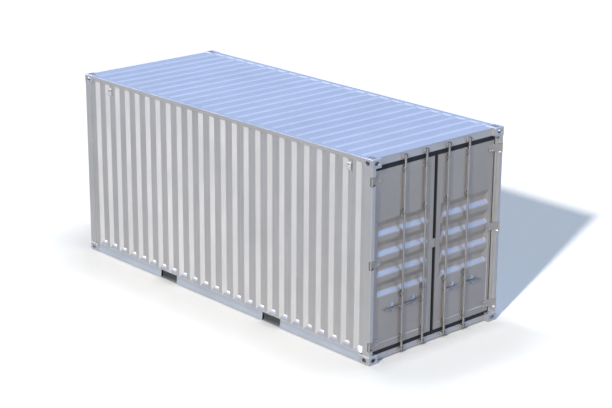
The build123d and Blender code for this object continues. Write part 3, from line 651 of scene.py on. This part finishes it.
for side_name in sides:
    gasket = rounded_copy(f"{side_name}_door_gasket", lip_edge, gasket_rubber)
    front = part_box(f"{side_name}_door_gasket")[1].x - near_edge
    bpy.ops.object.mode_set(mode="EDIT")
    pick_faces(gasket, lambda centre, normal: normal.x > square_on and centre.x > front)
    bpy.ops.mesh.inset(thickness=groove_margin, use_boundary=True)
    bpy.ops.transform.translate(value=(-groove_depth, 0, 0))
    bpy.ops.object.mode_set(mode="OBJECT")
    shade_evenly(gasket)

# Door gear: lock bars, handles, guides, retainers, cam keepers and hinge lugs.
# Drop forged or pressed, zinc coated, bolted or welded on, and sprayed over with the box.

# Thin enamel on drawn tube, lugs and keepers: nearly all metal to the eye, glossy, with rubbed specks.
gear_paint = silver_enamel(
    "enamel_on_drawn_tube", "#bcb9b6", "#adaaa7", roughness=0.22, metallic=0.8, skin=8, rub=0.4
)
# Thin enamel on forged steel: duller than the tube, because the forging skin is rough, and darker, as painted
# shade at the guides and handles.
forged_paint_painted_shade = silver_enamel(
    "enamel_on_forged_steel_with_painted_shade", "#a9a6a3", "#999693", roughness=0.36, metallic=0.8, skin=7, lift=0.5, rub=0.5
)
# Thin enamel on pressed catches: glossy, with no rubbed specks, and paler and bluer than the other gear, a
# painted highlight of sky light on their tops.
catch_paint_painted_highlight = silver_enamel(
    "enamel_on_pressed_catches_with_painted_highlight", "#d6dae0", "#c6cad0", roughness=0.22, metallic=0.8, skin=7
)
gear_edge = 0.0015
handle_edge = 0.004
for name in sorted(nodes):
    if name.endswith("_handle"):
        rounded_copy(name, handle_edge, forged_paint_painted_shade, steps=3)
    if name.endswith("_bar_guides"):
        rounded_copy(name, gear_edge, forged_paint_painted_shade)
    if name.endswith("_handle_retainers"):
        rounded_copy(name, gear_edge, catch_paint_painted_highlight)
    if name.endswith(("_lock_bar", "_hinge_lugs", "cam_keepers")):
        rounded_copy(name, gear_edge, gear_paint)

# Bolts: hexagon heads, 16 mm over their corners, with a washer face under each.
# They hold the guides and the hinge blades to the leaves, and are painted over with them.

guide_levels = (0.226, 0.835, 1.929, 2.507)
bar_places = (0.208, 0.595)
guide_half_width = 0.031
guide_half_height = 0.036
guide_foot = 0.005
hinge_levels = (0.255, 1.355, 2.455)
blade_reaches = (0.028, 0.082)
blade_half_height = 0.030
blade_thickness = 0.010
frame_width = 0.048
frame_stands_out = 0.003
head_radius = 0.008
head_height = 0.006
head_chamfer = 0.0012
washer_spread = 1.3
washer_height = 0.0015


def bolts_on(name, places, body, material):
    """A head at each place, its axis along the box. The first is modelled, and the others are its copies."""
    bpy.ops.object.select_all(action="DESELECT")
    turned = (0, math.pi / 2, 0)
    bpy.ops.mesh.primitive_cylinder_add(vertices=6, radius=head_radius, depth=head_height, rotation=turned)
    first = bpy.context.object
    first.name = name
    bpy.ops.object.transform_apply(location=True, rotation=True, scale=True)
    bpy.ops.object.mode_set(mode="EDIT")
    pick_faces(first, lambda centre, normal: normal.x < -square_on)
    bpy.ops.transform.resize(value=(1, washer_spread, washer_spread))
    bpy.ops.mesh.extrude_region_move(TRANSFORM_OT_translate={"value": (-washer_height, 0, 0)})
    pick_faces(first, lambda centre, normal: normal.x > square_on)
    bpy.ops.mesh.bevel(offset=head_chamfer, segments=1, affect="EDGES")
    bpy.ops.object.mode_set(mode="OBJECT")
    heads = [first] + [bpy.data.objects.new(name, first.data.copy()) for place in places[1:]]
    for head, place in zip(heads, places):
        if head is not first:
            bpy.context.scene.collection.objects.link(head)
        head.location = Vector(place) + Vector((head_height / 2, 0, 0))
        head.select_set(True)
    bpy.ops.object.join()
    return finish_piece(first, material, body)


for side_name, side in sides.items():
    low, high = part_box(f"{side_name}_door_panel")
    leaf_x = high.x + frame_stands_out
    places = [
        (leaf_x + guide_foot, side * (bar + across * guide_half_width), level + up * guide_half_height)
        for bar in bar_places
        for level in guide_levels
        for across in (-1, 1)
        for up in (-1, 1)
    ]
    bolts_on(f"{side_name}_guide_bolts", places, f"{side_name}_door", forged_paint_painted_shade)
    leaf_end = max(abs(low.y), abs(high.y)) + frame_width
    places = [
        (leaf_x + blade_thickness, side * (leaf_end - reach), level + up * blade_half_height)
        for level in hinge_levels
        for reach in blade_reaches
        for up in (-1, 1)
    ]
    bolts_on(f"{side_name}_blade_bolts", places, f"{side_name}_door", door_paint_painted_shade)

# Studio floor: a smooth pale sheet of painted board that catches the box's shadow.
# The camera sees a plain tone, with painted shade near the foot of the box on its sunny sides.

# Painted board, off white and half dull: it throws soft light up on the box, and mirrors it faintly.
floor_radius = 60
shade_reach = 1.5
shade_falloff = 5.0
far_side_edge = (1.0, 1.5)
door_side_edge = (2.9, 3.3)
door_side_share = 0.46
floor_painted_shade_tone = (0.95, 0.92, 0.85, 1)
open_tone = (1.75, 1.70, 1.61, 1)
bpy.ops.object.select_all(action="DESELECT")
bpy.ops.mesh.primitive_circle_add(vertices=96, radius=floor_radius, fill_type="NGON", location=(0, 0, 0))
studio_floor = bpy.context.object
studio_floor.name = "studio_floor"
floor_material = bpy.data.materials.new("painted_board")
floor_material.use_nodes = True
floor_tree = floor_material.node_tree
floor_shader = floor_tree.nodes["Principled BSDF"]
floor_shader.inputs["Base Color"].default_value = linear("#cecdca")
floor_shader.inputs["Roughness"].default_value = 0.41
floor_place = add_node(floor_tree, "ShaderNodeTexCoord").outputs["Object"]
floor_parts = add_node(floor_tree, "ShaderNodeSeparateXYZ", {"Vector": floor_place})
far_side = {"Value": floor_parts.outputs["Y"], "From Min": far_side_edge[0], "From Max": far_side_edge[1]}
door_side = {"Value": floor_parts.outputs["X"], "From Min": door_side_edge[0], "From Max": door_side_edge[1]}
door_side["To Max"] = door_side_share
# Painted shade: the floor's tone darkens where the box closes in its sky, less on the door side and not on
# the far side.
openness = add_node(floor_tree, "ShaderNodeAmbientOcclusion", {"Distance": shade_reach}).outputs["AO"]
clear = add_node(floor_tree, "ShaderNodeMath", {0: openness, 1: shade_falloff}, operation="POWER").outputs[0]
for limits in (door_side, far_side):
    beside = add_node(floor_tree, "ShaderNodeMapRange", limits).outputs["Result"]
    clear = add_node(floor_tree, "ShaderNodeMath", {0: clear, 1: beside}, operation="MAXIMUM").outputs[0]
tones = {0: clear, 6: floor_painted_shade_tone, 7: open_tone}
tone = add_node(floor_tree, "ShaderNodeMix", tones, data_type="RGBA").outputs[2]
floor_seen = add_node(floor_tree, "ShaderNodeBsdfDiffuse", {"Color": tone})
floor_ray = add_node(floor_tree, "ShaderNodeLightPath").outputs["Is Camera Ray"]
floor_looks = {0: floor_ray, 1: floor_shader.outputs[0], 2: floor_seen.outputs[0]}
floor_mix = add_node(floor_tree, "ShaderNodeMixShader", floor_looks)
floor_tree.links.new(floor_mix.outputs[0], floor_tree.nodes["Material Output"].inputs["Surface"])
studio_floor.data.materials.append(floor_material)

# Studio light: the camera, gloss and glass see plain white. Before it hang pale blue cards and two soft
# boxes, which gloss alone sees, and whose soft edges are given in x, y or z of the way a ray goes.
# All other rays get one dim blue fill, and the key lamp stands low to the left of the camera.

white = (1, 1, 1, 1)
fill_blue = (0.235, 0.285, 0.365, 1)
low_blue = (0.56, 0.78, 1.38, 1)
door_blue = (0.95, 2.15, 5.20, 1)
high_blue = (1.05, 1.32, 2.05, 1)
front_low_blue = (0.50, 0.66, 1.10, 1)
front_high_blue = (1.15, 1.35, 1.75, 1)
front_grey = (0.50, 0.52, 0.56, 1)
ceiling_blue = (0.60, 0.72, 1.0, 1)
left_box_light = (6.0, 6.0, 6.2, 1)
door_box_light = (3.2, 3.2, 3.2, 1)
left_box_way = (-0.764, -0.366, 0.531)
door_box_way = (0.983, -0.072, 0.169)
world = bpy.data.worlds.new("studio")
bpy.context.scene.world = world
world.use_nodes = True
sky_tree = world.node_tree
sky_way = add_node(sky_tree, "ShaderNodeTexCoord").outputs["Generated"]
sky_parts = add_node(sky_tree, "ShaderNodeSeparateXYZ", {"Vector": sky_way})
sky_x, sky_y, sky_z = (sky_parts.outputs[axis] for axis in "XYZ")
sky_ray = add_node(sky_tree, "ShaderNodeLightPath")
left_aim = add_node(sky_tree, "ShaderNodeVectorMath", {0: sky_way, 1: left_box_way}, operation="DOT_PRODUCT")
door_aim = add_node(sky_tree, "ShaderNodeVectorMath", {0: sky_way, 1: door_box_way}, operation="DOT_PRODUCT")
card_foot = {"Value": sky_x, "From Min": -0.1, "From Max": 0.4, "To Max": 0.16}
foot_level = add_node(sky_tree, "ShaderNodeMapRange", card_foot, interpolation_type="SMOOTHSTEP").outputs[0]
above_foot = add_node(sky_tree, "ShaderNodeMath", {0: sky_z, 1: foot_level}, operation="SUBTRACT").outputs[0]
soft_edges = {
    "below_cards": (above_foot, 0.08, 0.0),
    "doors": (sky_x, -0.2, 0.4),
    "above_doors": (sky_z, 0.34, 0.44),
    "high": (sky_z, 0.42, 0.75),
    "front": (sky_y, 0.25, -0.2),
    "front_high": (sky_z, 0.36, 0.46),
    "ceiling": (sky_z, 0.86, 0.96),
    "left_box": (left_aim.outputs["Value"], 0.90, 0.955),
    "door_box": (door_aim.outputs["Value"], 0.965, 0.99),
}
share = {}
for card, (value, outside, inside) in soft_edges.items():
    limits = {"Value": value, "From Min": outside, "From Max": inside}
    edge = add_node(sky_tree, "ShaderNodeMapRange", limits, interpolation_type="SMOOTHSTEP")
    share[card] = edge.outputs["Result"]
for bounce, comparison in (("first_bounce", "LESS_THAN"), ("later_bounces", "GREATER_THAN")):
    depth = {0: sky_ray.outputs["Glossy Depth"], 1: 1.5}
    share[bounce] = add_node(sky_tree, "ShaderNodeMath", depth, operation=comparison).outputs[0]
for card, limit in (("doors", "above_doors"), ("left_box", "first_bounce"), ("door_box", "first_bounce")):
    both = {0: share[card], 1: share[limit]}
    share[card] = add_node(sky_tree, "ShaderNodeMath", both, operation="MULTIPLY").outputs[0]


def hang_cards(backdrop, cards):
    """The backdrop's colour with cards hung before it in turn, each seen as far as its share goes."""
    for seen_share, colour in cards:
        layers = {0: seen_share, 6: backdrop, 7: colour}
        backdrop = add_node(sky_tree, "ShaderNodeMix", layers, data_type="RGBA").outputs[2]
    return backdrop


front_cards = ((share["front_high"], front_high_blue), (share["later_bounces"], front_grey))
all_cards = (
    (share["doors"], door_blue),
    (share["high"], high_blue),
    (share["below_cards"], white),
    (share["front"], hang_cards(front_low_blue, front_cards)),
    (share["ceiling"], ceiling_blue),
    (share["left_box"], left_box_light),
    (share["door_box"], door_box_light),
)
fill_light = add_node(sky_tree, "ShaderNodeBackground", {"Color": fill_blue})
card_light = add_node(sky_tree, "ShaderNodeBackground", {"Color": hang_cards(low_blue, all_cards)})
plain_light = add_node(sky_tree, "ShaderNodeBackground", {"Color": white})
lit_looks = {0: sky_ray.outputs["Is Glossy Ray"], 1: fill_light.outputs[0], 2: card_light.outputs[0]}
lit_mix = add_node(sky_tree, "ShaderNodeMixShader", lit_looks)
plain_rays = {0: sky_ray.outputs["Is Camera Ray"], 1: sky_ray.outputs["Is Transmission Ray"]}
plain_ray = add_node(sky_tree, "ShaderNodeMath", plain_rays, operation="MAXIMUM")
seen_looks = {0: plain_ray.outputs[0], 1: lit_mix.outputs[0], 2: plain_light.outputs[0]}
seen_mix = add_node(sky_tree, "ShaderNodeMixShader", seen_looks)
sky_tree.links.new(seen_mix.outputs[0], sky_tree.nodes["World Output"].inputs["Surface"])

key_lamp_place = (4, -9, 6)
key_lamp_way = (0.333, -0.815, 0.475)
key_lamp_power = 2.5
key_lamp_width = 2.5
bpy.ops.object.light_add(type="SUN", location=key_lamp_place)
key_lamp = bpy.context.object
key_lamp.name = "key_lamp"
key_lamp.data.energy = key_lamp_power
key_lamp.data.color = (1.0, 0.967, 0.925)
key_lamp.data.angle = math.radians(key_lamp_width)
key_lamp.rotation_euler = Vector(key_lamp_way).to_track_quat("Z", "Y").to_euler()

# Camera: a long lens at the photograph's viewing angle, well above the roof, off the corner by the doors.
# Its place, aim and lens were fitted to the corners of the box in the photograph.

camera_place = (16.854, -15.0335, 8.485)
camera_azimuth = 47.41
camera_elevation = 17.90
camera_roll = 0.36
camera_lens = 97.69
bpy.ops.object.camera_add(location=camera_place)
camera = bpy.context.object
camera.name = "camera"
camera.rotation_euler = (math.radians(90 - camera_elevation), 0, math.radians(camera_azimuth))
upright = camera.rotation_euler.to_matrix()
camera.rotation_euler = (upright @ Matrix.Rotation(math.radians(camera_roll), 3, "Z")).to_euler()
camera.data.sensor_width = 36
camera.data.lens = camera_lens
camera.data.clip_end = 300
bpy.context.scene.camera = camera
bpy.context.scene.view_settings.view_transform = "Standard"
